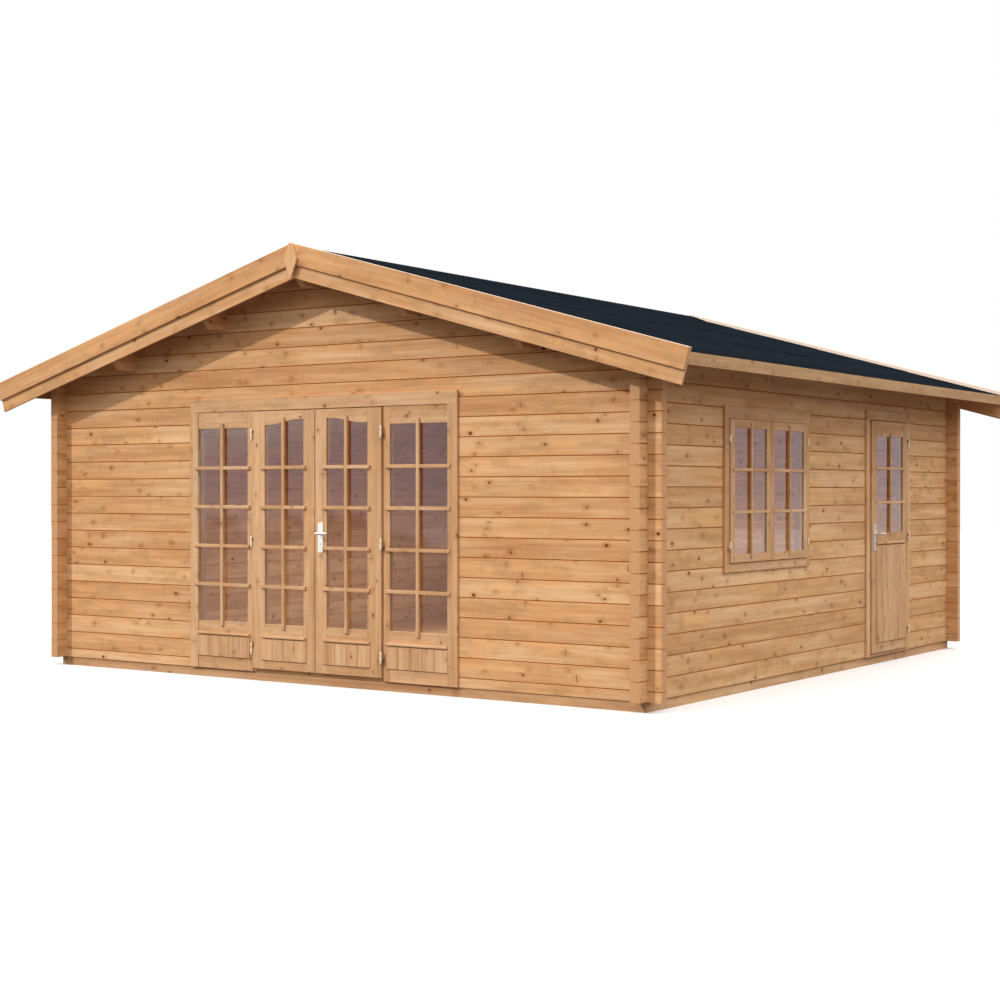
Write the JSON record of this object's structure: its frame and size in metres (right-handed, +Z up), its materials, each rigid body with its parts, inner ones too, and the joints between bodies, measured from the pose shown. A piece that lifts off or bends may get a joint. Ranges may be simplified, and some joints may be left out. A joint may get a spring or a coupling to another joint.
{
  "type": "log cabin",
  "caption": "Gabled timber log cabin with a glazed double front door between fixed side panels, a casement side window and a half-glazed side door.",
  "frame": {"origin": "on the ground under the middle of the cabin", "axes": "+X along the front to the right, +Y from the front to the back, +Z up"},
  "size_m": [6.28, 5.992, 3.1298],
  "materials": {
    "log_wood": "planed spruce logs, unfinished",
    "beam_wood": "planed softwood",
    "board_wood": "planed tongued boards",
    "trim_wood": "planed softwood boards",
    "joinery_wood": "sanded softwood",
    "roof_felt": "mineral roofing felt",
    "glass": "clear float glass",
    "metal": "satin silver"
  },
  "bodies": {
    "cabin": {"front_wall_left": "log_wood", "front_wall_right": "log_wood", "front_gable": "log_wood", "back_wall": "log_wood", "left_wall": "log_wood", "right_wall_front": "log_wood", "right_wall_under_window": "log_wood", "right_wall_middle": "log_wood", "right_wall_back": "log_wood", "right_wall_top": "log_wood", "base_beams_long": "beam_wood", "base_beams_side": "beam_wood", "floor_bearers": "beam_wood", "ridge_purlin": "beam_wood", "purlins_left": "beam_wood", "purlins_right": "beam_wood", "floor_boards": "board_wood", "roof_deck_left": "board_wood", "roof_deck_right": "board_wood", "barge_boards_left": "trim_wood", "barge_boards_right": "trim_wood", "barge_covers_left": "trim_wood", "barge_covers_right": "trim_wood", "apex_blocks": "trim_wood", "eave_fascia_left": "trim_wood", "eave_fascia_right": "trim_wood", "front_door_frame": "joinery_wood", "front_sill": "joinery_wood", "side_panel_left": "joinery_wood", "side_panel_right": "joinery_wood", "window_frame": "joinery_wood", "window_sashes": "joinery_wood", "side_door_frame": "joinery_wood", "roof_felt_left": "roof_felt", "roof_felt_right": "roof_felt", "side_panel_glass": "glass", "window_glass": "glass", "front_hinge_pins": "metal", "side_hinge_pins": "metal"},
    "front_door_left": {"front_door_left": "joinery_wood", "front_glass_left": "glass", "front_barrels_left": "metal"},
    "front_door_right": {"front_door_right": "joinery_wood", "front_glass_right": "glass", "front_barrels_right": "metal", "front_handle_plate": "metal"},
    "front_lever": {"front_lever": "metal"},
    "side_door": {"side_door": "joinery_wood", "side_door_glass": "glass", "side_barrels": "metal", "side_handle_plate": "metal"},
    "side_lever": {"side_lever": "metal"}
  },
  "joints": [
    {"name": "front_door_left_hinge", "type": "hinge", "parent": "cabin", "child": "front_door_left", "pos_m": [-0.604, -2.738, 1], "axis": [0, 0, -1], "range_deg": [0, 105]},
    {"name": "front_door_right_hinge", "type": "hinge", "parent": "cabin", "child": "front_door_right", "pos_m": [0.604, -2.738, 1], "axis": [0, 0, 1], "range_deg": [0, 105]},
    {"name": "front_lever_turn", "type": "hinge", "parent": "front_door_right", "child": "front_lever", "pos_m": [0.0555, -2.75, 1.089], "axis": [0, 1, 0], "range_deg": [0, 40], "stiffness_Nm_per_rad": 1, "springref_deg": -28.65},
    {"name": "side_door_hinge", "type": "hinge", "parent": "cabin", "child": "side_door", "pos_m": [2.738, 1.632, 1], "axis": [0, 0, 1], "range_deg": [0, 105]},
    {"name": "side_lever_turn", "type": "hinge", "parent": "side_door", "child": "side_lever", "pos_m": [2.75, 0.911, 1.048], "axis": [-1, 0, 0], "range_deg": [0, 40], "stiffness_Nm_per_rad": 1, "springref_deg": -28.65}
  ]
}
